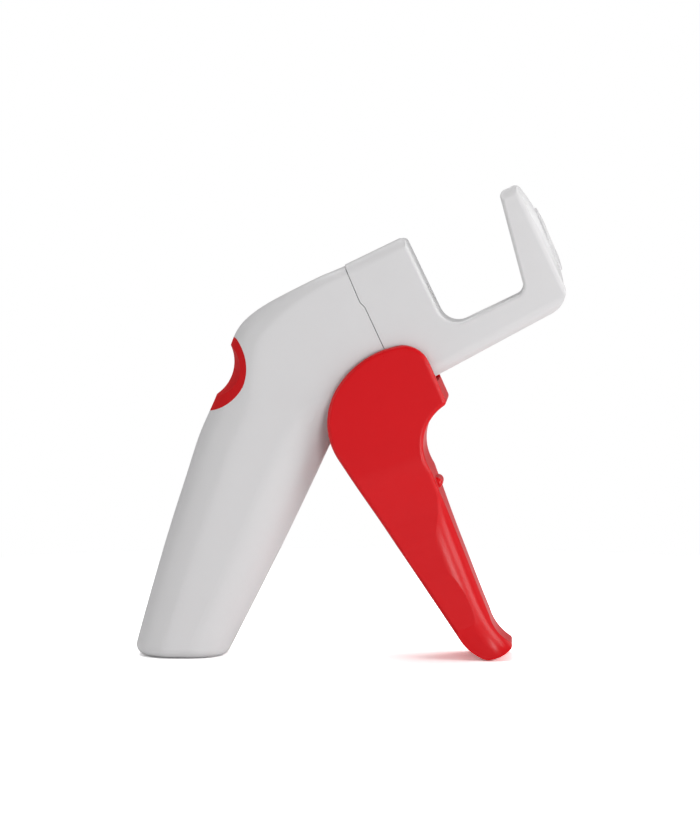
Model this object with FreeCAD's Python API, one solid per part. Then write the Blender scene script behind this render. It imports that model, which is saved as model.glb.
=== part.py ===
"""Hand-held cherry pitter with a squeeze lever, standing on its handle and lever.

X points to where the head points, Y goes through the tool from side to side,
Z is up, and the origin lies on the table under the middle of the tool.
"""
import FreeCAD
import Part
import math
import os
from FreeCAD import Placement, Rotation, Vector

# Stance and main axes
PIVOT_X = 15.9
PIVOT_Z = 72.5
HEAD_TILT = 25.75

# Walls and clearances
WALL = 2.2
SIDE_GAP = 0.35
SLEEVE_GAP = 0.15
SEAM_GAP = 0.2
RUNNING_GAP = 0.06
SEAT_GAP = 0.02
FREE_GAP = 0.4

# Head
HEAD_HALF_WIDTH = 15.0
HEAD_TOP = 48.0
HEAD_UNDER = 6.1
HEAD_UNDER_RISE = 0.048
HEAD_EDGE = 3.5
SEAM_U = 4.4
FRONT_FACE_U = 60.4
REAR_WALL_U = 23.8
REAR_WALL = 2.2
PLUNGER_V = 28.6

# Cradle
CRADLE_FLOOR_V = 17.8
CRADLE_REAR_CORNER = 6.0
CRADLE_FRONT_CORNER = 3.0
FRONT_WALL_LOW_U = 49.6
FRONT_WALL_TOP_U = 54.8
FRONT_WALL_TOP_V = 47.4
SEAT_RADIUS = 15.0
SEAT_U = 38.8
SEAT_V = 29.6
CHIN_RADIUS = 7.0
RIM_ROUND = 1.0
CREST_ROUND = 1.6

# Catch between head and spigot
CATCH_U = 12.8
CATCH_LENGTH = 4.6
CATCH_HALF_WIDTH = 5.0
CATCH_SINK = 0.3

# Pit exit
PILLOW_HEIGHT = 2.3
PILLOW_HALF_HEIGHT = 17.4
BOSS_RADIUS = 10.0
BOSS_HEIGHT = 0.5
EXIT_RADIUS_IN = 5.0
EXIT_RADIUS_OUT = 6.0

# Handle
HANDLE_BACK_BASE = (-65.4, 0.0)
HANDLE_FRONT_BASE = (-37.1, 0.0)
HANDLE_BACK_TOP = (-44.4, 68.2)
HANDLE_FRONT_TOP = (-9.5, 56.0)
HANDLE_BASE_HALF_WIDTH = 13.2
HANDLE_TOP_HALF_WIDTH = 14.6
HANDLE_BACK_BOW = 0.65
HANDLE_FRONT_BOW = 0.38
HANDLE_STEPS = 6
BASE_ROUND = 3.0
BASE_THICKNESS = 2.6

# Hand rest
PAD_DEPTH = 3.2
SCOOP_DEPTH = 1.7
SCOOP_RADIUS = 12.0
SCOOP_SPREAD = 30.0
SCOOP_X = -37.1
SCOOP_Z = 84.8
SCOOP_TILT = 22.5

# Lever
SWING = 52.0
LEVER_HALF_WIDTH = 17.6
LEVER_WAIST_HALF_WIDTH = 14.4
LEVER_TIP_HALF_WIDTH = 12.0
LEVER_WAIST_START = 12.0
LEVER_WAIST_END = 30.0
LEVER_LENGTH = 76.0
LEVER_EDGE = 1.2
LEVER_LEAN = 20.25
LEVER_CORNERS = [(25.5, -72.5, 4.0), (33.8, -68.0, 1.2), (26.4, -59.4, 6.0),
                 (9.2, -15.6, 2.0), (13.9, 4.4, 1.6), (0.3, 21.6, 2.0)]
LEVER_NOTCH = [(9.2, -15.6), (6.95, -5.6), (13.9, 4.4)]
LEVER_WEB = 2.1
GRIP_LINE = [(9.2, -15.6), (26.4, -59.4)]
GRIP_STEP = 15.0
GRIP_START = -43.0
GRIP_MARGINS = [36.0, 24.0, 12.0, 2.6, 0.2, 0.1, 0.5, 6.5]
GRIP_HALF_WIDTHS = [21.0, 20.0, 18.8, 16.9, 14.27, 13.62, 12.97, 12.35]
GRIP_ROUNDS = [3.0, 3.0, 3.2, 4.4, 6.4, 6.6, 6.2, 5.5]
NUB_RADIUS = 1.7
NUB_HALF_WIDTH = 7.0

# Pivot and drive
PIN_RADIUS = 2.0
PIN_SEAT_DEPTH = 1.3
LUG_RADIUS = 5.6
FORK_INNER = 3.95
FORK_OUTER = 6.45
ARM_LENGTH = 35.35
FORK_HUB_RADIUS = 5.8
FORK_TIP_RADIUS = 3.1
DRIVE_PIN_RADIUS = 1.5
YOKE_PLAY = 0.32

# Plunger
ROD_RADIUS = 2.75
ROD_TIP_U = 22.9
ROD_SEAT_DEPTH = 3.0
BLOCK_HALF_WIDTH = 3.55
BLOCK_FRONT = 5.3
BLOCK_REAR = 7.0
BLOCK_FOOT_V = 22.6
FLANGE_V = 39.2
FLANGE_THICKNESS = 2.4
FLANGE_HALF_WIDTH = 9.6
ROD_CROSS_LENGTH = 8.0
ROD_CROSS_WEB = 1.5
BUSH_RADIUS = 4.7
BUSH_FLANGE = 0.5

# Spigot and guide rails
SPIGOT_END_U = 21.0
SPIGOT_WALL = 2.0
SPIGOT_START_U = -4.0
RAIL_REAR_U = -25.0
RAIL_THICKNESS = 2.0
RAIL_INNER = 7.3

# Return spring
SPRING_WIRE = 1.0
SPRING_COIL_RADIUS = 4.2
SPRING_TURNS = 4
SPRING_PITCH = 1.45
SPRING_REST_U = 9.5
SPRING_REST_RADIUS = 1.2
SPRING_REST_V = SPRING_COIL_RADIUS - SPRING_WIRE / 2 - SPRING_REST_RADIUS - SEAT_GAP
SPRING_BAR_REACH = 14.0
SPRING_BAR_RADIUS = 1.4

# Shell screws
SCREW_RADIUS = 1.5
SCREW_HEAD_RADIUS = 2.7
SCREW_HEAD_HEIGHT = 1.8
SCREW_BOSS_RADIUS = 4.0
SCREW_SEAT_Y = 9.5
SCREW_LENGTH = 14.0
SCREW_PLACES = [(-46.0, 20.0), (-33.0, 46.0), (-13.6, 73.8)]

PIVOT = Vector(PIVOT_X, 0, PIVOT_Z)
FAR = 200.0
MIN_ROUND = 0.6


def head_frame(shape):
    """Moves a shape drawn along the head's own axes into place at the pivot."""
    placed = shape.copy()
    placed.Placement = Placement(PIVOT, Rotation(Vector(0, 1, 0), -HEAD_TILT)).multiply(shape.Placement)
    return placed


def lever_frame(shape):
    """Moves a shape drawn about the pivot, upright, into place."""
    placed = shape.copy()
    placed.Placement = Placement(PIVOT, Rotation()).multiply(shape.Placement)
    return placed


def at(u, v):
    """The place in the object of a point given along the head's own axes."""
    spot = Placement(PIVOT, Rotation(Vector(0, 1, 0), -HEAD_TILT)).multVec(Vector(u, 0, v))
    return (spot.x, spot.z)


def outline(start, *steps):
    """A closed wire in the XZ plane: a step is a point, or two points of an arc."""
    def vec(point):
        return Vector(point[0], 0, point[1])
    edges = []
    here = vec(start)
    for step in steps + (start,):
        if isinstance(step[0], tuple):
            edges.append(Part.Arc(here, vec(step[0]), vec(step[1])).toShape())
            here = vec(step[1])
        elif (vec(step) - here).Length > 1e-6:
            edges.append(Part.LineSegment(here, vec(step)).toShape())
            here = vec(step)
    return Part.Wire(edges)


def plate(wire, y_low, y_high):
    """A flat piece with the given outline between two depths."""
    face = Part.Face(wire)
    solid = face.extrude(Vector(0, y_high - y_low, 0))
    solid.translate(Vector(0, y_low, 0))
    return solid


def block(x_low, x_high, y_low, y_high, z_low, z_high):
    """A box between its corners."""
    return Part.makeBox(x_high - x_low, y_high - y_low, z_high - z_low, Vector(x_low, y_low, z_low))


def bar_y(x, z, radius, y_low, y_high):
    """A round bar from side to side."""
    return Part.makeCylinder(radius, y_high - y_low, Vector(x, y_low, z), Vector(0, 1, 0))


def bar_x(x_low, x_high, z, radius):
    """A round bar along the head."""
    return Part.makeCylinder(radius, x_high - x_low, Vector(x_low, 0, z), Vector(1, 0, 0))


def both_sides(solid):
    """The solid together with its mirror image across the middle plane."""
    return solid.fuse(solid.mirror(Vector(0, 0, 0), Vector(0, 1, 0)))


def section(back, front, half_width, round_along, round_across, inset=0.0):
    """A rounded closed section across the body, between a back and a front point."""
    back = Vector(back[0], 0, back[1])
    front = Vector(front[0], 0, front[1])
    centre = (back + front) * 0.5
    along = (front - back) * 0.5
    reach = along.Length - inset
    along.normalize()
    across = Vector(0, 1, 0)
    half_width = half_width - inset
    rx = max(round_along - inset, MIN_ROUND)
    ry = max(round_across - inset, MIN_ROUND)

    def point(a, b):
        return centre + along * a + across * b

    def corner(side_a, side_b, first):
        spots = []
        for i in range(5):
            turn = math.radians(first + 22.5 * i)
            spots.append(point(side_a * (reach - rx) + rx * math.cos(turn),
                               side_b * (half_width - ry) + ry * math.sin(turn)))
        begin = math.radians(first)
        end = math.radians(first + 90)
        curve = Part.BSplineCurve()
        curve.interpolate(Points=spots,
                          InitialTangent=across * (ry * math.cos(begin)) - along * (rx * math.sin(begin)),
                          FinalTangent=across * (ry * math.cos(end)) - along * (rx * math.sin(end)))
        return curve.toShape()

    def line(a0, b0, a1, b1):
        return Part.LineSegment(point(a0, b0), point(a1, b1)).toShape()

    flat_a = reach - rx
    flat_b = half_width - ry
    return Part.Wire([
        line(reach, -flat_b, reach, flat_b), corner(1, 1, 0),
        line(flat_a, half_width, -flat_a, half_width), corner(-1, 1, 90),
        line(-reach, flat_b, -reach, -flat_b), corner(-1, -1, 180),
        line(-flat_a, -half_width, flat_a, -half_width), corner(1, -1, 270)])


def between(low, high, share):
    """A value or a point part of the way from one to another."""
    if isinstance(low, tuple):
        return tuple(a + (b - a) * share for a, b in zip(low, high))
    return low + (high - low) * share


def head_under(u):
    """Height of the head's underside, which rises slightly to the front."""
    return HEAD_UNDER + HEAD_UNDER_RISE * (u - SEAM_U)


def body_sections():
    """Sections of the handle, the bend and the neck, from the base to past the seam."""
    sections = []
    for i in range(HANDLE_STEPS + 1):
        share = i / HANDLE_STEPS
        bow = 4 * share * (1 - share)
        back = between(HANDLE_BACK_BASE, HANDLE_BACK_TOP, share)
        front = between(HANDLE_FRONT_BASE, HANDLE_FRONT_TOP, share)
        sections.append(((back[0] - bow * HANDLE_BACK_BOW, back[1]),
                         (front[0] + bow * HANDLE_FRONT_BOW, front[1]),
                         between(HANDLE_BASE_HALF_WIDTH, HANDLE_TOP_HALF_WIDTH, share),
                         between(12.0, 14.0, share), between(11.5, 12.0, share)))
    sections.append(((-37.7, 84.5), (-4.3, 66.6), 14.8, 13.0, 11.0))
    sections.append((at(-31.9, 45.2), at(-14.3, 6.3), HEAD_HALF_WIDTH, 10.0, 9.0))
    sections.append((at(-22.0, 47.6), at(-11.0, 6.1), HEAD_HALF_WIDTH, 7.0, 7.0))
    sections.append((at(-11.0, HEAD_TOP), at(-7.0, HEAD_UNDER), HEAD_HALF_WIDTH, 4.5, 4.5))
    sections.append((at(-2.0, HEAD_TOP), at(-1.0, HEAD_UNDER), HEAD_HALF_WIDTH, HEAD_EDGE, HEAD_EDGE))
    sections.append((at(8.0, HEAD_TOP), at(8.0, HEAD_UNDER), HEAD_HALF_WIDTH, HEAD_EDGE, HEAD_EDGE))
    return sections


def body_form(inset=0.0):
    """The closed outer form of handle and neck, or the same form drawn inwards."""
    wires = [section(*one, inset=inset) for one in body_sections()]
    return Part.makeLoft(wires, True, False)


def head_tube(u_low, u_high, inset):
    """A straight stretch of the head's section, drawn inwards, along the head's axes."""
    half = HEAD_HALF_WIDTH - inset
    top = HEAD_TOP - inset
    shape = outline((u_low, top), (u_high, top), (u_high, head_under(u_high) + inset),
                    (u_low, head_under(u_low) + inset))
    tube = plate(shape, -half, half)
    long_edges = [edge for edge in tube.Edges if edge.BoundBox.XLength > 0.9 * (u_high - u_low)]
    return tube.makeFillet(max(HEAD_EDGE - inset, MIN_ROUND), long_edges)


def seam_block(gap):
    """Everything in front of the seam, whose line has a small step part of the way down."""
    jog_v = 35.0
    wire = outline((SEAM_U + 0.5 + gap, 60.0), (SEAM_U - 0.5 + gap, jog_v + 0.9),
                   (SEAM_U + 0.2 + gap, jog_v - 0.9), (SEAM_U + gap, 20.0), (SEAM_U + gap, -5.0),
                   (FAR, -5.0), (FAR, 60.0))
    return head_frame(plate(wire, -FAR, FAR))


def pad_region(grow=0.0):
    """The patch of the handle's back that the hand rest covers, through the whole width."""
    wire = outline((-33.1 + grow, 95.6 + grow), ((-29.9 + grow, 86.5), (-31.0 + grow, 81.4 - grow)),
                   ((-34.9 + grow, 76.9 - grow), (-42.1, 73.9 - grow)), (-60.0, 66.0), (-60.0, 110.0))
    return plate(wire, -FAR, FAR)


def scoop():
    """The hollow in the hand rest for the web of the thumb, as part of a large ring."""
    ring_radius = SCOOP_SPREAD + SCOOP_RADIUS - SCOOP_DEPTH
    lean = Rotation(Vector(0, 1, 0), SCOOP_TILT)
    inward = lean.multVec(Vector(1, 0, 0))
    ring = Part.makeTorus(ring_radius, SCOOP_RADIUS)
    ring.Placement = Placement(Vector(SCOOP_X, 0, SCOOP_Z) + inward * SCOOP_SPREAD, lean)
    return ring


def hand_rest_pad(form):
    """The soft insert, as thick as its pocket and scooped out."""
    patch = form.cut(body_form(PAD_DEPTH)).common(pad_region())
    return largest(patch.cut(scoop()))


def largest(shape):
    """The main solid of a shape."""
    return max(shape.Solids, key=lambda solid: solid.Volume)


def lug_profile():
    """Outline of the pivot lugs, about the pivot and along the head's axes."""
    top = HEAD_UNDER + 1.0
    low = LUG_RADIUS * 0.8
    side = LUG_RADIUS * 0.6
    nose = SPRING_REST_RADIUS + 0.1
    return outline((-LUG_RADIUS - 6.0, top), ((-LUG_RADIUS, 2.0), (-low, -side)),
                   ((0.0, -LUG_RADIUS), (low, -side)),
                   (SPRING_REST_U, SPRING_REST_V - nose),
                   ((SPRING_REST_U + nose, SPRING_REST_V), (SPRING_REST_U, SPRING_REST_V + nose)),
                   (SPRING_REST_U, HEAD_UNDER - 0.1), (SEAM_U, HEAD_UNDER - 0.1), (SEAM_U, top))


def lugs():
    """The two lugs that carry the pivot pin, with the rest for the return spring between them."""
    lug = plate(lug_profile(), FORK_OUTER + FREE_GAP, HEAD_HALF_WIDTH)
    lug = lug.cut(bar_y(0, 0, PIN_RADIUS + RUNNING_GAP, 0, FAR))
    rest = bar_y(SPRING_REST_U, SPRING_REST_V, SPRING_REST_RADIUS, -FORK_OUTER - 1.0, FORK_OUTER + 1.0)
    return head_frame(both_sides(lug).fuse(rest))


def fork_slot():
    """The way through the underside for the drive fork."""
    half = FORK_OUTER + FREE_GAP
    return block(-12.5, 11.5, -half, half, HEAD_UNDER - 1.0, HEAD_UNDER + WALL + 3.0)


def rails():
    """Four ribs, two a side, between which the plunger's flange slides."""
    ribs = []
    for low in (FLANGE_V - RAIL_THICKNESS - 0.15, FLANGE_V + FLANGE_THICKNESS + 0.15):
        rib = block(RAIL_REAR_U, SPIGOT_END_U, RAIL_INNER, HEAD_HALF_WIDTH - WALL + 0.5,
                    low, low + RAIL_THICKNESS)
        ribs.append(both_sides(rib))
    return head_frame(ribs[0].fuse(ribs[1]))


def spigot():
    """The forward end of the shells, over which the head is pushed."""
    return head_frame(head_tube(SPIGOT_START_U, SPIGOT_END_U, WALL + SLEEVE_GAP))


def body_cavity():
    """The hollow inside handle, neck and spigot."""
    hollow = body_form(WALL).cut(seam_block(-WALL))
    hollow = hollow.cut(block(-FAR, FAR, -FAR, FAR, -FAR, BASE_THICKNESS))
    backing = pad_region(WALL).cut(body_form(PAD_DEPTH + WALL))
    hollow = hollow.cut(backing)
    bore = head_tube(SPIGOT_START_U - 6.0, SPIGOT_END_U + 1.0, WALL + SLEEVE_GAP + SPIGOT_WALL)
    return hollow.fuse(head_frame(bore))


def screw_bosses():
    """Pillars through the shells, in which the screws sit."""
    bosses = []
    for x, z in SCREW_PLACES:
        bosses.append(bar_y(x, z, SCREW_BOSS_RADIUS, -FAR, FAR))
    return bosses


def screw_bores():
    """Counterbores and pilot holes for the screws, from the far side."""
    bores = []
    for x, z in SCREW_PLACES:
        bores.append(bar_y(x, z, SCREW_RADIUS + SEAT_GAP, SCREW_SEAT_Y - SCREW_LENGTH - 1.0, FAR))
        bores.append(bar_y(x, z, SCREW_HEAD_RADIUS + 0.25, SCREW_SEAT_Y, FAR))
    return bores


def body_shells():
    """The two halves of the body, joined on the middle plane."""
    form = body_form()
    base_edges = [edge for edge in form.Edges if edge.BoundBox.ZMax < 0.01]
    form = form.makeFillet(BASE_ROUND, base_edges)
    pad = hand_rest_pad(form)
    shell = form.cut(seam_block(0.0)).fuse(spigot())
    shell = shell.cut(body_cavity())
    inside = form.common(head_frame(block(-FAR, SEAM_U, -FAR, FAR, -FAR, FAR)))
    inside = inside.fuse(spigot())
    shell = shell.fuse(rails().common(inside))
    shell = shell.fuse([boss.common(form) for boss in screw_bosses()])
    shell = shell.cut(screw_bores())
    shell = shell.fuse(lugs())
    shell = shell.cut(head_frame(fork_slot()))
    shell = shell.cut(form.cut(body_form(PAD_DEPTH)).common(pad_region()))
    shell = shell.cut(scoop().common(pad_region()))
    near = largest(shell.common(block(-FAR, FAR, -FAR, 0, -FAR, FAR)))
    far = largest(shell.common(block(-FAR, FAR, 0, FAR, -FAR, FAR)))
    return near, far, pad


def front_middle():
    """Height of the middle of the head's domed front."""
    return (FRONT_WALL_TOP_V + head_under(FRONT_FACE_U) + CHIN_RADIUS) / 2


def crown(v):
    """How far forward the domed front reaches at a height."""
    share = (v - front_middle()) / PILLOW_HALF_HEIGHT
    return FRONT_FACE_U + max(0.0, PILLOW_HEIGHT * (1 - share ** 2))


def head_profile():
    """The head seen from the side: top, cradle, front wall and chin."""
    floor = CRADLE_FLOOR_V
    rear = REAR_WALL_U
    big = CRADLE_REAR_CORNER
    small = CRADLE_FRONT_CORNER
    tip = CREST_ROUND
    turn = math.sqrt(0.5)
    bulge = 1 - turn
    top = FRONT_WALL_TOP_V
    lean = (FRONT_WALL_TOP_U - FRONT_WALL_LOW_U) / (FRONT_WALL_TOP_V - CRADLE_FLOOR_V)
    chin_u = FRONT_FACE_U - CHIN_RADIUS
    chin_v = head_under(chin_u)
    chin_top = chin_v + CHIN_RADIUS + 1.0
    return outline(
        (SEAM_U - 5.0, HEAD_TOP), (rear - tip, HEAD_TOP),
        ((rear - tip * bulge, HEAD_TOP - tip * bulge), (rear, HEAD_TOP - tip)), (rear, floor + big),
        ((rear + big * bulge, floor + big * bulge), (rear + big, floor)),
        (FRONT_WALL_LOW_U - small, floor),
        ((FRONT_WALL_LOW_U - small * bulge, floor + small * bulge * 0.9),
         (FRONT_WALL_LOW_U + 0.1, floor + small * 0.9)),
        (FRONT_WALL_TOP_U - lean * tip, top - tip),
        ((FRONT_WALL_TOP_U + tip * 0.22, top - tip * 0.30), (FRONT_WALL_TOP_U + tip * 0.9, top)),
        (FRONT_FACE_U - tip * 0.8, top),
        ((FRONT_FACE_U + tip * 0.05, top - tip * 0.27), (crown(top - tip * 1.1) + 0.02, top - tip * 1.1)),
        (FRONT_FACE_U + 8.0, top - tip * 1.1), (FRONT_FACE_U + 8.0, chin_top), (crown(chin_top), chin_top),
        ((chin_u + CHIN_RADIUS * turn, chin_v + CHIN_RADIUS * (1 - turn)), (chin_u, chin_v)),
        (chin_u, HEAD_UNDER - 5.0), (SEAM_U - 5.0, HEAD_UNDER - 5.0))


def pillow(extra):
    """The low dome of the head's front face, raised by a little more for the exit's rim."""
    across = (PILLOW_HEIGHT ** 2 + HEAD_HALF_WIDTH ** 2) / (2 * PILLOW_HEIGHT)
    along = (PILLOW_HEIGHT ** 2 + PILLOW_HALF_HEIGHT ** 2) / (2 * PILLOW_HEIGHT) + extra
    axis_u = FRONT_FACE_U + PILLOW_HEIGHT - across
    middle = front_middle()
    tall = PILLOW_HALF_HEIGHT + 6.0
    edge_u = axis_u + across + extra - along + math.sqrt(along ** 2 - tall ** 2)
    half = outline((axis_u, middle - tall), (edge_u, middle - tall),
                   ((axis_u + across + extra, middle), (edge_u, middle + tall)), (axis_u, middle + tall))
    dome = Part.Face(half).revolve(Vector(axis_u, 0, 0), Vector(0, 0, 1), 360)
    return dome.common(block(FRONT_FACE_U - 4.0, FRONT_FACE_U + 9.0, -30, 30, -10, 70))


def front_plan():
    """The head seen from above, with the soft corners between its sides and its front."""
    half = HEAD_HALF_WIDTH
    soft = CREST_ROUND
    reach = FRONT_FACE_U + PILLOW_HEIGHT * (1 - ((half - soft) / half) ** 2)
    middle = (FRONT_FACE_U - soft * 0.25, half - soft * 0.25)
    wire = outline((0.0, -half), (FRONT_FACE_U - soft, -half), ((middle[0], -middle[1]), (reach, soft - half)),
                   (FRONT_FACE_U + 6.0, -half / 2), (FRONT_FACE_U + 6.0, half / 2), (reach, half - soft),
                   (middle, (FRONT_FACE_U - soft, half)), (0.0, half))
    plan = plate(wire, -FAR, FAR)
    plan.rotate(Vector(0, 0, 0), Vector(1, 0, 0), 90)
    return plan


def front_face(blank):
    """The head's blank with its domed front and the raised rim of the pit exit."""
    flat = block(-FAR, FRONT_FACE_U, -FAR, FAR, -FAR, FAR)
    head = blank.common(flat.fuse(pillow(0.0))).common(front_plan())
    rim = pillow(BOSS_HEIGHT).common(bar_x(FRONT_FACE_U - 3.0, FRONT_FACE_U + 8.0, PLUNGER_V, BOSS_RADIUS))
    return head.fuse(rim)


def side_cut():
    """The head's side view as a plate, with the cradle's edges rounded on both sides."""
    slab = plate(head_profile(), -HEAD_HALF_WIDTH, HEAD_HALF_WIDTH)
    rim = []
    for edge in slab.Edges:
        box = edge.BoundBox
        inside = box.XMin > REAR_WALL_U - 0.1 and box.XMax < FRONT_FACE_U - 1.0
        if box.YLength < 0.01 and inside and box.ZMin > CRADLE_FLOOR_V - 0.1:
            rim.append(edge)
    return slab.makeFillet(RIM_ROUND, rim)


def cradle_head():
    """The head that slides over the spigot and holds the cherry."""
    head = front_face(head_tube(SEAM_U - 4.0, FRONT_FACE_U + 6.0, 0.0).common(side_cut()))
    head = head.cut(Part.makeSphere(SEAT_RADIUS, Vector(SEAT_U, 0, SEAT_V)))
    head = head.cut(head_tube(SEAM_U - 5.0, REAR_WALL_U - REAR_WALL, WALL))
    head = head.cut(bar_x(REAR_WALL_U - 5.0, REAR_WALL_U + 2.0, PLUNGER_V, BUSH_RADIUS))
    exit_length = FRONT_FACE_U + 5.0 - SEAT_U
    head = head.cut(Part.makeCone(EXIT_RADIUS_IN, EXIT_RADIUS_OUT, exit_length,
                                  Vector(SEAT_U, 0, PLUNGER_V), Vector(1, 0, 0)))
    head = head.cut(fork_slot())
    head = head.cut(block(CATCH_U, CATCH_U + CATCH_LENGTH, -CATCH_HALF_WIDTH, CATCH_HALF_WIDTH,
                          HEAD_TOP - WALL - 0.5, HEAD_TOP + 1.0))
    return head_frame(head).common(seam_block(SEAM_GAP))


def head_catch():
    """The snap button of the spigot, which fills the window in the head's top."""
    low = HEAD_TOP - WALL - SLEEVE_GAP
    gap = 0.2
    button = block(CATCH_U + gap, CATCH_U + CATCH_LENGTH - gap, -CATCH_HALF_WIDTH + gap,
                   CATCH_HALF_WIDTH - gap, low, HEAD_TOP - CATCH_SINK)
    top_edges = [edge for edge in button.Edges if edge.BoundBox.ZMin > low + 0.5]
    return head_frame(button.makeFillet(0.4, top_edges))


def rod_guide_bush():
    """The flanged ring in the cradle's rear wall that guides the rod."""
    inner = REAR_WALL_U - REAR_WALL
    ring = bar_x(inner, REAR_WALL_U - 0.3, PLUNGER_V, BUSH_RADIUS - SEAT_GAP)
    flange = bar_x(inner - BUSH_FLANGE, inner, PLUNGER_V, BUSH_RADIUS + 2.0)
    bore = bar_x(inner - 2.0, REAR_WALL_U + 1.0, PLUNGER_V, ROD_RADIUS + RUNNING_GAP)
    return head_frame(ring.fuse(flange).cut(bore))


def drive_pin_place(swing):
    """Where the drive pin is along the head's axes when the lever has swung so far."""
    lean = math.radians(swing - SWING / 2)
    return (ARM_LENGTH * math.sin(lean), ARM_LENGTH * math.cos(lean))


def plunger_slider():
    """The block that carries the rod: a yoke for the drive pin under a sliding flange."""
    pin_u, pin_low = drive_pin_place(0.0)
    pin_high = drive_pin_place(SWING / 2)[1]
    rear = pin_u - BLOCK_REAR
    front = pin_u + BLOCK_FRONT
    body = block(rear, front, -BLOCK_HALF_WIDTH, BLOCK_HALF_WIDTH, BLOCK_FOOT_V, FLANGE_V + FLANGE_THICKNESS)
    body = body.makeFillet(1.0, [edge for edge in body.Edges
                                 if edge.BoundBox.ZMax < BLOCK_FOOT_V + 0.1 and edge.BoundBox.XLength < 0.1])
    body = body.fuse(block(rear, front, -FLANGE_HALF_WIDTH, FLANGE_HALF_WIDTH,
                           FLANGE_V, FLANGE_V + FLANGE_THICKNESS))
    half = DRIVE_PIN_RADIUS + YOKE_PLAY
    slot = block(pin_u - half, pin_u + half, -30, 30, pin_low - 0.1, pin_high + 0.1)
    slot = slot.fuse([bar_y(pin_u, pin_low - 0.1, half, -30, 30), bar_y(pin_u, pin_high + 0.1, half, -30, 30)])
    seat = bar_x(front - ROD_SEAT_DEPTH, front + 1.0, PLUNGER_V, ROD_RADIUS + SEAT_GAP)
    return head_frame(body.cut(slot).cut(seat))


def plunger_rod():
    """The steel rod with a cross-shaped end that pushes the pit out."""
    start = drive_pin_place(0.0)[0] + BLOCK_FRONT - ROD_SEAT_DEPTH
    rod = bar_x(start, ROD_TIP_U, PLUNGER_V, ROD_RADIUS)
    rod = rod.makeChamfer(0.3, [edge for edge in rod.Edges if edge.BoundBox.XMin > ROD_TIP_U - 0.1])
    web = ROD_CROSS_WEB / 2
    for side_y in (-1, 1):
        for side_v in (-1, 1):
            groove = block(ROD_TIP_U - ROD_CROSS_LENGTH, ROD_TIP_U + 1.0, 0, 5, 0, 5)
            groove = groove.makeFillet(0.4, [edge for edge in groove.Edges
                                             if edge.BoundBox.YMax < 0.01 and edge.BoundBox.ZMax < 0.01])
            if side_y < 0:
                groove = groove.mirror(Vector(0, 0, 0), Vector(0, 1, 0))
            if side_v < 0:
                groove = groove.mirror(Vector(0, 0, 0), Vector(0, 0, 1))
            groove.translate(Vector(0, side_y * web, PLUNGER_V + side_v * web))
            rod = rod.cut(groove)
    return head_frame(rod)


def arm_frame(shape):
    """Moves a shape drawn along an upright arm into the arm's place at rest."""
    lean = Placement(Vector(0, 0, 0), Rotation(Vector(0, 1, 0), -SWING / 2))
    tilted = shape.copy()
    tilted.Placement = lean.multiply(shape.Placement)
    return head_frame(tilted)


def prong_outline():
    """A prong of the drive fork: a hub and a smaller tip joined by tangent sides."""
    taper = math.asin((FORK_HUB_RADIUS - FORK_TIP_RADIUS) / ARM_LENGTH)
    hub_x, hub_z = FORK_HUB_RADIUS * math.cos(taper), FORK_HUB_RADIUS * math.sin(taper)
    tip_x, tip_z = FORK_TIP_RADIUS * math.cos(taper), ARM_LENGTH + FORK_TIP_RADIUS * math.sin(taper)
    return outline((-hub_x, hub_z), (-tip_x, tip_z), ((0, ARM_LENGTH + FORK_TIP_RADIUS), (tip_x, tip_z)),
                   (hub_x, hub_z), ((0, -FORK_HUB_RADIUS), (-hub_x, hub_z)))


def drive_fork():
    """The two-pronged arm that turns with the lever and carries the drive pin."""
    prongs = both_sides(plate(prong_outline(), FORK_INNER, FORK_OUTER))
    bar = bar_y(0, SPRING_BAR_REACH, SPRING_BAR_RADIUS, -FORK_OUTER, FORK_OUTER)
    arm = arm_frame(prongs.fuse(bar))
    tail = outline((-4.2, -4.0), (-2.5, -12.0), (0.8, -15.0), (5.6, -13.4), (4.3, -8.6), (3.6, -4.6))
    tail = plate(tail, -FORK_OUTER, FORK_OUTER)
    tail = tail.cut(bar_y(0, 0, FORK_HUB_RADIUS - 0.4, -FORK_INNER, FORK_INNER))
    fork = arm.fuse(lever_frame(tail))
    fork = fork.cut(lever_frame(bar_y(0, 0, PIN_RADIUS + SEAT_GAP, -FAR, FAR)))
    return fork.cut(arm_frame(bar_y(0, ARM_LENGTH, DRIVE_PIN_RADIUS + SEAT_GAP, -FAR, FAR)))


def drive_pin():
    """The cross pin at the end of the fork, which runs in the slider's yoke."""
    return arm_frame(bar_y(0, ARM_LENGTH, DRIVE_PIN_RADIUS, -FORK_OUTER + 0.1, FORK_OUTER - 0.1))


def pivot_pin():
    """The steel pin on which the lever turns, hidden inside both cheeks."""
    reach = HEAD_HALF_WIDTH + SIDE_GAP + PIN_SEAT_DEPTH - 0.05
    return lever_frame(bar_y(0, 0, PIN_RADIUS, -reach, reach))


def lever_profile():
    """The lever seen from the side, about the pivot: head disc, finger notch, grip and toe."""
    return outline(
        (0.3, 21.6), ((-11.5, 16.8), (-19.4, 7.8)), ((-21.6, -3.0), (-18.2, -12.6)),
        (17.5, -66.2), ((20.8, -69.9), (25.5, -72.5)), ((29.8, -71.4), (33.8, -68.0)),
        ((29.2, -64.6), (26.4, -59.4)), ((17.75, -37.7), LEVER_NOTCH[0]),
        (LEVER_NOTCH[1], LEVER_NOTCH[2]), (8.6, 16.2), ((5.6, 20.0), (0.3, 21.6)))


def soften(solid, corners):
    """Rounds the edges that run from side to side at the given places."""
    for x, z, radius in corners:
        edges = [edge for edge in solid.Edges
                 if edge.BoundBox.YLength > 1.0
                 and math.hypot(edge.Vertexes[0].X - x, edge.Vertexes[0].Z - z) < 0.1]
        solid = solid.makeFillet(radius, edges)
    return solid


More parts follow.
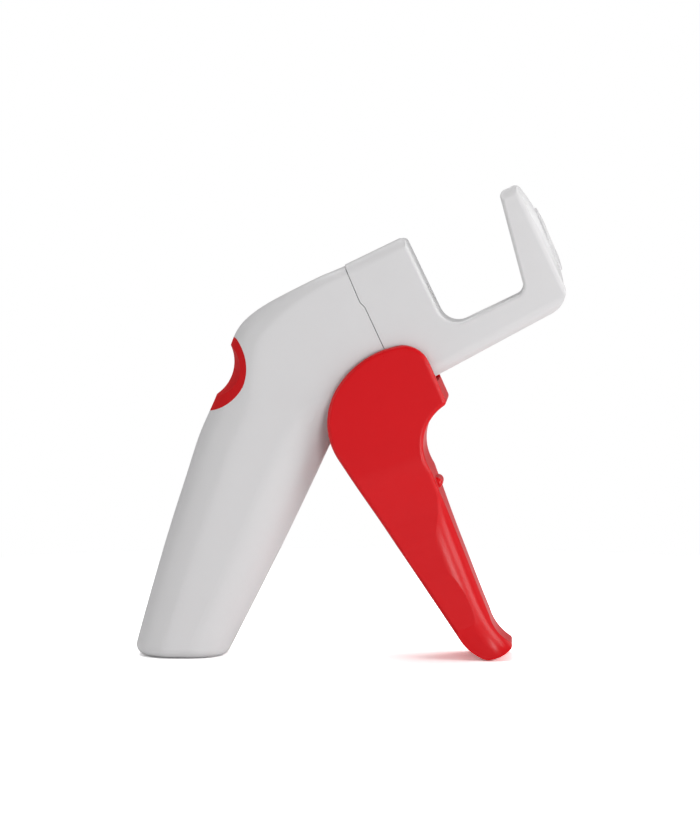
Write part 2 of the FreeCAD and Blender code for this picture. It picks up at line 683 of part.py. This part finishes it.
def lever_hollow_profile():
    """The channel inside the lever, open to the back and, above the web, to the front."""
    web_top = HEAD_UNDER - 1.0
    low = at(11.6, web_top)
    out = at(30.0, web_top)
    notch = Part.Circle(*[Vector(x, 0, z) for x, z in LEVER_NOTCH])
    grow = (notch.Radius + LEVER_WEB) / notch.Radius
    inner = []
    for x, z in LEVER_NOTCH:
        spot = notch.Center + (Vector(x, 0, z) - notch.Center) * grow
        inner.append((spot.x, spot.z))
    return outline((-40.0, -60.0), (7.0, -60.0), (20.5, -62.0), (24.2, -59.0), (12.6, -29.8), inner[0],
                   (inner[1], inner[2]), (low[0] - PIVOT_X, low[1] - PIVOT_Z),
                   (out[0] - PIVOT_X, out[1] - PIVOT_Z), (out[0] - PIVOT_X, 50.0), (-40.0, 50.0))


def lever_width_profile(inset, reach):
    """Half widths of the lever along its length, as a plate that is swept through it."""
    head = LEVER_HALF_WIDTH - inset
    waist = LEVER_WAIST_HALF_WIDTH - inset
    tip = LEVER_TIP_HALF_WIDTH - inset
    middle = (LEVER_WAIST_START + LEVER_WAIST_END) / 2
    step = (head - waist) / 2
    curve = Part.BSplineCurve()
    curve.interpolate(Points=[Vector(0, head, -LEVER_WAIST_START), Vector(0, waist + step, -middle),
                              Vector(0, waist, -LEVER_WAIST_END)],
                      InitialTangent=Vector(0, 0, -1), FinalTangent=Vector(0, (tip - waist) / 3, -15))
    right = [curve.toShape(),
             Part.LineSegment(Vector(0, waist, -LEVER_WAIST_END), Vector(0, tip, -reach)).toShape()]
    left = [edge.mirror(Vector(0, 0, 0), Vector(0, 1, 0)) for edge in right]
    top = 40.0
    ends = [Part.LineSegment(Vector(0, -head, -LEVER_WAIST_START), Vector(0, -head, top)).toShape(),
            Part.LineSegment(Vector(0, -head, top), Vector(0, head, top)).toShape(),
            Part.LineSegment(Vector(0, head, top), Vector(0, head, -LEVER_WAIST_START)).toShape(),
            Part.LineSegment(Vector(0, tip, -reach), Vector(0, -tip, -reach)).toShape()]
    wire = Part.Wire(Part.__sortEdges__(right + left + ends))
    solid = Part.Face(wire).extrude(Vector(160, 0, 0))
    solid.translate(Vector(-80, 0, 0))
    lean = Placement(Vector(0, 0, 0), Rotation(Vector(0, 1, 0), -LEVER_LEAN))
    solid.Placement = lean.multiply(solid.Placement)
    return solid


def grip_edges(solid):
    """The edges of the lever's plate where its sides meet its outline."""
    edges = []
    for edge in solid.Edges:
        box = edge.BoundBox
        sides = [face for face in solid.ancestorsOfType(edge, Part.Face) if cheek(face)]
        if box.YMin * box.YMax > 0 and len(sides) == 1:
            edges.append(edge)
    return edges


def cheek(face):
    """Whether a face of the lever's plate looks to one side."""
    u_low, u_high, v_low, v_high = face.ParameterRange
    return abs(face.normalAt((u_low + u_high) / 2, (v_low + v_high) / 2).y) > 0.5


def grip_form(inset):
    """The soft round of the finger side, as a long form that trims the lever's front corners."""
    top, low = [Vector(x, 0, z) for x, z in GRIP_LINE]
    down = (low - top).normalize()
    forward = Vector(-down.z, 0, down.x)
    wires = []
    for i, margin in enumerate(GRIP_MARGINS):
        front = top + down * (GRIP_START + i * GRIP_STEP) + forward * margin
        back = front - forward * (60.0 + margin)
        wires.append(section((back.x, back.z), (front.x, front.z), GRIP_HALF_WIDTHS[i],
                             GRIP_ROUNDS[i], GRIP_ROUNDS[i], inset=inset))
    return Part.makeLoft(wires, True, False)


def lever():
    """The red squeeze lever: two cheeks joined by a web along the front."""
    outer = soften(plate(lever_profile(), -FAR, FAR), LEVER_CORNERS)
    outer = largest(outer.common(lever_width_profile(0.0, LEVER_LENGTH + 10.0)))
    outer = outer.makeFillet(LEVER_EDGE, grip_edges(outer)).common(grip_form(0.0))
    hollow = plate(lever_hollow_profile(), -FAR, FAR).common(grip_form(LEVER_WEB))
    hollow = hollow.common(lever_width_profile(LEVER_HALF_WIDTH - HEAD_HALF_WIDTH - SIDE_GAP, LEVER_LENGTH + 10.0))
    body = outer.cut(hollow)
    nub = bar_y(10.6, -19.9, NUB_RADIUS, -NUB_HALF_WIDTH, NUB_HALF_WIDTH)
    nub = nub.makeFillet(NUB_RADIUS * 0.6, nub.Edges)
    body = body.fuse(nub)
    rib = outline((1.0, -9.5), (5.2, -7.6), (7.4, -15.5), (3.0, -17.5))
    body = body.fuse(both_sides(plate(rib, FORK_OUTER + 0.05, FORK_OUTER + 1.8)))
    reach = HEAD_HALF_WIDTH + SIDE_GAP + PIN_SEAT_DEPTH
    body = body.cut(bar_y(0, 0, PIN_RADIUS + SEAT_GAP, -reach, reach))
    return lever_frame(body)


def return_spring():
    """A torsion spring round the pivot pin, one leg on the fork and one on the lugs."""
    bar_gap = SPRING_BAR_RADIUS + SPRING_WIRE / 2 + SEAT_GAP
    reach = math.hypot(bar_gap, SPRING_BAR_REACH)
    off_axis = math.atan2(bar_gap, SPRING_BAR_REACH)
    leg_turn = math.asin(SPRING_COIL_RADIUS / reach) - off_axis + math.radians(SWING / 2)
    leg_length = math.sqrt(reach ** 2 - SPRING_COIL_RADIUS ** 2) + 1.5
    start = math.radians(90.0)
    quarter_turns = 4 * SPRING_TURNS
    finish = 2 * math.pi * SPRING_TURNS + leg_turn
    steps = quarter_turns
    length = SPRING_PITCH * SPRING_TURNS

    def spot(turn):
        share = (turn - start) / (finish - start)
        return Vector(SPRING_COIL_RADIUS * math.cos(turn), (share - 0.5) * length,
                      SPRING_COIL_RADIUS * math.sin(turn))
    edges = [Part.LineSegment(spot(start) + Vector(SPRING_REST_U + 1.3, 0, 0), spot(start)).toShape()]
    for i in range(steps):
        first = start + (finish - start) * i / steps
        last = start + (finish - start) * (i + 1) / steps
        edges.append(Part.Arc(spot(first), spot((first + last) / 2), spot(last)).toShape())
    way = Vector(-math.sin(finish), 0, math.cos(finish))
    edges.append(Part.LineSegment(spot(finish), spot(finish) + way * leg_length).toShape())
    path = Part.Wire(edges)
    ring = Part.Wire([Part.Circle(spot(start) + Vector(SPRING_REST_U + 1.3, 0, 0), Vector(1, 0, 0),
                                  SPRING_WIRE / 2).toShape()])
    spring = path.makePipeShell([ring], True, False)
    print("spring: least gap between turns %.2f mm" % (SPRING_PITCH * 2 * math.pi * SPRING_TURNS
                                                      / (finish - start) - SPRING_WIRE))
    return head_frame(spring)


def shell_screws():
    """Three screws with cross recesses, put in from the far side."""
    screws = []
    for x, z in SCREW_PLACES:
        top = SCREW_SEAT_Y + SCREW_HEAD_HEIGHT
        screw = bar_y(x, z, SCREW_RADIUS, SCREW_SEAT_Y - SCREW_LENGTH, SCREW_SEAT_Y + 0.5)
        head = bar_y(x, z, SCREW_HEAD_RADIUS, SCREW_SEAT_Y, top)
        head = head.makeFillet(0.7, [edge for edge in head.Edges if edge.BoundBox.YMin > top - 0.1])
        screw = screw.fuse(head)
        for wide, tall in ((1.6, 0.3), (0.3, 1.6)):
            screw = screw.cut(block(x - wide, x + wide, top - 1.1, top + 1.0, z - tall, z + tall))
        screws.append(screw)
    return Part.makeCompound(screws)


def main():
    """Makes every piece and writes it under its own name."""
    near, far, pad = body_shells()
    pieces = {
        "body_shell_near": near,
        "body_shell_far": far,
        "hand_rest_pad": pad,
        "shell_screws": shell_screws(),
        "cradle_head": cradle_head(),
        "head_catch": head_catch(),
        "rod_guide_bush": rod_guide_bush(),
        "plunger_slider": plunger_slider(),
        "plunger_rod": plunger_rod(),
        "drive_fork": drive_fork(),
        "drive_pin": drive_pin(),
        "pivot_pin": pivot_pin(),
        "lever": lever(),
        "return_spring": return_spring(),
    }
    os.makedirs("parts", exist_ok=True)
    whole = Part.makeCompound(list(pieces.values()))
    for name, solid in pieces.items():
        print(name, solid.isValid(), len(solid.Solids), round(solid.Volume))
        solid.exportStep("parts/" + name + ".step")
    box = whole.optimalBoundingBox()
    print("box %.2f %.2f, %.2f %.2f, %.2f %.2f"
          % (box.XMin, box.XMax, box.YMin, box.YMax, box.ZMin, box.ZMax))


main()
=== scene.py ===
import bpy
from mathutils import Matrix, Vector


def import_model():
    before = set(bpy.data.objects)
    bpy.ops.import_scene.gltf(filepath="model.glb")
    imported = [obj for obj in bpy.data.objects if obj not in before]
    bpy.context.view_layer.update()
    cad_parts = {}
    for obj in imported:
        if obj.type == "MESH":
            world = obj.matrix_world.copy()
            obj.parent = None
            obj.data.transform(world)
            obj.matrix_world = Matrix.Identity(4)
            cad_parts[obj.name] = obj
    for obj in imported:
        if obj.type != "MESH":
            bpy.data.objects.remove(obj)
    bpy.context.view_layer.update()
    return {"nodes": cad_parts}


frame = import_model()
nodes = frame["nodes"]

# The grain of the finishes. A scale counts grains per metre, and the height is in metres.
FINE_DETAIL = 3.0
BLOTCH_SCALE = 45.0
BLOTCH_DETAIL = 2.0
GRAIN_HEIGHT = 0.0002
ROUGHNESS_SPREAD = 0.05
STEEL_BLUE = 0.01

# The shine of the finishes. A surface that faces the viewer counts as 0, and one seen along itself as 1.
PLASTIC_SHINE = 0.5
EVEN_BLEND = 0.5
EDGE_START = 0.6

# The table and the world. Lengths are in metres, and a tone or a strength of 1 is white.
WHITE_LEVEL = 1.0
WORLD_LIGHT = 0.24
TABLE_RADIUS = 1.5
TABLE_SIDES = 96
TABLE_DROP = 0.0002
TABLE_ROUGHNESS = 0.9
TABLE_TONE = 0.85
TABLE_TONE_IN_VIEW = 2.2
SHADOWS_FADE_FROM = 0.12
SHADOWS_GONE_AT = 0.30

# The lamps: place, the point they look at, width and height, all in metres, and power in watts.
TOOL_MIDDLE = (0, 0, 0.07)
LEVER_GRIP = (0.02, 0, 0.03)
LAMPS = {
    "key": ((1.16, -0.44, 0.32), TOOL_MIDDLE, (0.7, 0.9), 8.4),
    "low": ((0.35, -0.65, 0.03), LEVER_GRIP, (0.28, 0.25), 2.2),
    "top": ((-0.15, 0.20, 1.00), TOOL_MIDDLE, (0.9, 0.7), 4.8),
    "fill": ((-0.98, -0.66, 0.40), TOOL_MIDDLE, (0.9, 0.9), 2.8),
    "back": ((0.75, 0.85, 0.70), TOOL_MIDDLE, (0.8, 0.8), 3.0),
}

# The photograph's frame in pixels, and its camera in metres, with the sensor in millimetres.
PHOTO_WIDTH = 700
PHOTO_HEIGHT = 840
CAMERA_PLACE = (0.050, -0.90, 0.130)
CAMERA_TARGET = (0.0001, 0.0, 0.0709)
WIDTH_AT_TARGET = 0.2105
NEAREST_SEEN = 0.01
SENSOR_SIZE = 36.0


def srgb(red, green, blue):
    """The linear colour of three display values from 0 to 255, by the standard curve."""
    def linear(value):
        value = value / 255
        return value / 12.92 if value <= 0.04045 else ((value + 0.055) / 1.055) ** 2.4
    return (linear(red), linear(green), linear(blue), 1.0)


def grey(level):
    """A linear colour with all three parts alike."""
    return (level, level, level, 1.0)


def steel(level):
    """The linear colour of bare steel, a grey with a trace of blue."""
    return (level, level, level + STEEL_BLUE, 1.0)


def toned(colour, factor):
    """The colour made darker or lighter, with no part over 1."""
    return [min(1.0, part * factor) for part in colour[:3]] + [1.0]


def add_node(tree, kind, inputs=None, **settings):
    """A new shader node. Its settings come first, because they decide which inputs it has."""
    node = tree.nodes.new("ShaderNode" + kind)
    for name, value in settings.items():
        setattr(node, name, value)
    for name, value in (inputs or {}).items():
        node.inputs[name].default_value = value
    return node


def remap(tree, value, ranges):
    """The value moved from one range to another, and held inside it."""
    node = add_node(tree, "MapRange", ranges)
    tree.links.new(value, node.inputs["Value"])
    return node.outputs["Result"]


def noise(tree, place, scale, detail):
    """Soft noise over the surface, from 0 to 1."""
    node = add_node(tree, "TexNoise", {"Scale": scale, "Detail": detail})
    tree.links.new(place, node.inputs["Vector"])
    return node.outputs["Fac"]


def choose_colour(tree, first, second, factor):
    """The first colour where the factor is 0, and the second where it is 1."""
    node = add_node(tree, "Mix", {"A": first, "B": second}, data_type="RGBA")
    tree.links.new(factor, node.inputs["Factor"])
    return node.outputs["Result"]


def choose_shader(tree, first, second, factor, surface):
    """Gives the surface the first shader where the factor is 0, and the second where it is 1."""
    node = add_node(tree, "MixShader")
    for source, socket in zip((factor, first, second), node.inputs):
        tree.links.new(source, socket)
    tree.links.new(node.outputs["Shader"], surface)


def camera_rays(tree):
    """1 for a ray that comes straight from the camera, and 0 for any other."""
    return add_node(tree, "LightPath").outputs["Is Camera Ray"]


def fade_shine(tree, shader, shine, edge_shine):
    """Lets the shine fall to a share of itself where the surface turns away from the viewer."""
    facing = add_node(tree, "LayerWeight", {"Blend": EVEN_BLEND}).outputs["Facing"]
    fall = {"From Min": EDGE_START, "To Min": shine, "To Max": shine * edge_shine}
    tree.links.new(remap(tree, facing, fall), shader.inputs["Specular IOR Level"])


def material(name, colour, roughness, grain, tone, metallic=0.0, bump=0.02,
             stretch=(1.0, 1.0, 1.0), shine=PLASTIC_SHINE, edge_shine=1.0):
    """A procedural finish: fine grain in gloss and height, and wide, faint blotches in tone.

    The tone is how far the blotches stray from the colour, and the edge shine is the share of the
    shine that is left at the edges. The stretch makes the grain finer along an axis.
    """
    finish = bpy.data.materials.new(name)
    finish.use_nodes = True
    tree = finish.node_tree
    shader = tree.nodes["Principled BSDF"]
    shader.inputs["Metallic"].default_value = metallic
    shader.inputs["Specular IOR Level"].default_value = shine
    if edge_shine != 1.0:
        fade_shine(tree, shader, shine, edge_shine)

    mapping = add_node(tree, "Mapping", {"Scale": stretch})
    tree.links.new(add_node(tree, "TexCoord").outputs["Object"], mapping.inputs["Vector"])
    fine = noise(tree, mapping.outputs["Vector"], grain, FINE_DETAIL)
    wide = noise(tree, mapping.outputs["Vector"], BLOTCH_SCALE, BLOTCH_DETAIL)
    shade = choose_colour(tree, toned(colour, 1 - tone), toned(colour, 1 + tone), wide)
    tree.links.new(shade, shader.inputs["Base Color"])
    spread = {"To Min": roughness - ROUGHNESS_SPREAD, "To Max": roughness + ROUGHNESS_SPREAD}
    tree.links.new(remap(tree, fine, spread), shader.inputs["Roughness"])
    height = add_node(tree, "Bump", {"Strength": bump, "Distance": GRAIN_HEIGHT})
    tree.links.new(fine, height.inputs["Height"])
    tree.links.new(height.outputs["Normal"], shader.inputs["Normal"])
    return finish


# The finishes: moulded plastics, of which the hand's rest is the dullest and coarsest, and steels.
BODY_WHITE = material("body_white", srgb(219, 218, 219), roughness=0.36, grain=2200, tone=0.012,
                      bump=0.05)
LEVER_RED = material("lever_red", srgb(212, 6, 18), roughness=0.30, grain=1500, tone=0.03,
                     bump=0.03, shine=0.30, edge_shine=0.1)
PAD_RED = material("pad_red", srgb(206, 5, 14), roughness=0.6, grain=2600, tone=0.04,
                   bump=0.25, shine=0.2, edge_shine=0.2)
SLIDE_PLASTIC = material("slide_plastic", srgb(222, 220, 214), roughness=0.5, grain=1500, tone=0.02)
ROD_STEEL = material("rod_steel", steel(0.62), roughness=0.22, grain=900, tone=0.05,
                     metallic=1.0, stretch=(1.0, 14.0, 1.0))
SPRING_STEEL = material("spring_steel", steel(0.52), roughness=0.3, grain=1200, tone=0.08,
                        metallic=1.0)
SCREW_STEEL = material("screw_steel", steel(0.45), roughness=0.35, grain=1200, tone=0.08,
                       metallic=1.0)

FINISHES = {
    "body_shell_near": BODY_WHITE,
    "body_shell_far": BODY_WHITE,
    "cradle_head": BODY_WHITE,
    "head_catch": BODY_WHITE,
    "hand_rest_pad": PAD_RED,
    "lever": LEVER_RED,
    "drive_fork": LEVER_RED,
    "rod_guide_bush": SLIDE_PLASTIC,
    "plunger_slider": SLIDE_PLASTIC,
    "plunger_rod": ROD_STEEL,
    "drive_pin": ROD_STEEL,
    "pivot_pin": ROD_STEEL,
    "return_spring": SPRING_STEEL,
    "shell_screws": SCREW_STEEL,
}
for name, finish in FINISHES.items():
    nodes[name].data.materials.clear()
    nodes[name].data.materials.append(finish)


def table_white():
    """White with the tool's shadows near the middle, and plain white to the camera beyond them."""
    finish = bpy.data.materials.new("floor_white")
    finish.use_nodes = True
    tree = finish.node_tree
    shader = tree.nodes["Principled BSDF"]
    shader.inputs["Roughness"].default_value = TABLE_ROUGHNESS
    shader.inputs["Specular IOR Level"].default_value = 0.0
    in_view = camera_rays(tree)
    tint = choose_colour(tree, grey(TABLE_TONE), grey(TABLE_TONE_IN_VIEW), in_view)
    tree.links.new(tint, shader.inputs["Base Color"])

    distance = add_node(tree, "VectorMath", operation="LENGTH")
    tree.links.new(add_node(tree, "TexCoord").outputs["Object"], distance.inputs[0])
    fade = {"From Min": SHADOWS_FADE_FROM, "From Max": SHADOWS_GONE_AT}
    plain_share = add_node(tree, "Math", operation="MULTIPLY")
    tree.links.new(remap(tree, distance.outputs["Value"], fade), plain_share.inputs[0])
    tree.links.new(in_view, plain_share.inputs[1])
    plain = add_node(tree, "Emission", {"Strength": WHITE_LEVEL})
    choose_shader(tree, shader.outputs["BSDF"], plain.outputs["Emission"],
                  plain_share.outputs["Value"], tree.nodes["Material Output"].inputs["Surface"])
    return finish


def floor():
    """The table that the tool stands on, a hair below its feet."""
    bpy.ops.mesh.primitive_circle_add(vertices=TABLE_SIDES, radius=TABLE_RADIUS, fill_type="NGON",
                                      location=(0, 0, -TABLE_DROP))
    plane = bpy.context.object
    plane.name = "floor"
    plane.data.materials.append(table_white())


def world():
    """White where the camera sees it, and a soft, weaker light to everything else."""
    sky = bpy.data.worlds.new("studio")
    bpy.context.scene.world = sky
    sky.use_nodes = True
    tree = sky.node_tree
    seen = tree.nodes["Background"]
    seen.inputs["Color"].default_value = grey(WHITE_LEVEL)
    seen.inputs["Strength"].default_value = WHITE_LEVEL
    soft = add_node(tree, "Background", {"Color": grey(WHITE_LEVEL), "Strength": WORLD_LIGHT})
    choose_shader(tree, soft.outputs["Background"], seen.outputs["Background"],
                  camera_rays(tree), tree.nodes["World Output"].inputs["Surface"])


def put_in_scene(name, data, place, target):
    """The object of a lamp or a camera, at a place and looking at a point."""
    thing = bpy.data.objects.new(name, data)
    thing.location = place
    thing.rotation_euler = (Vector(target) - Vector(place)).to_track_quat("-Z", "Y").to_euler()
    bpy.context.scene.collection.objects.link(thing)
    return thing


def lamp(name, place, target, size, power):
    """A soft rectangular lamp that looks at a point."""
    data = bpy.data.lights.new(name, "AREA")
    data.shape = "RECTANGLE"
    data.size, data.size_y = size
    data.energy = power
    put_in_scene(name, data, place, target)


def camera():
    """The photograph's camera. The sensor's size counts along the longer side of the frame."""
    data = bpy.data.cameras.new("camera")
    distance = (Vector(CAMERA_TARGET) - Vector(CAMERA_PLACE)).length
    height_at_target = WIDTH_AT_TARGET * PHOTO_HEIGHT / PHOTO_WIDTH
    data.sensor_width = SENSOR_SIZE
    data.lens = SENSOR_SIZE * distance / height_at_target
    data.clip_start = NEAREST_SEEN
    bpy.context.scene.camera = put_in_scene("camera", data, CAMERA_PLACE, CAMERA_TARGET)


floor()
world()
for name, (place, target, size, power) in LAMPS.items():
    lamp(name, place, target, size, power)
camera()
bpy.context.scene.view_settings.view_transform = "Standard"
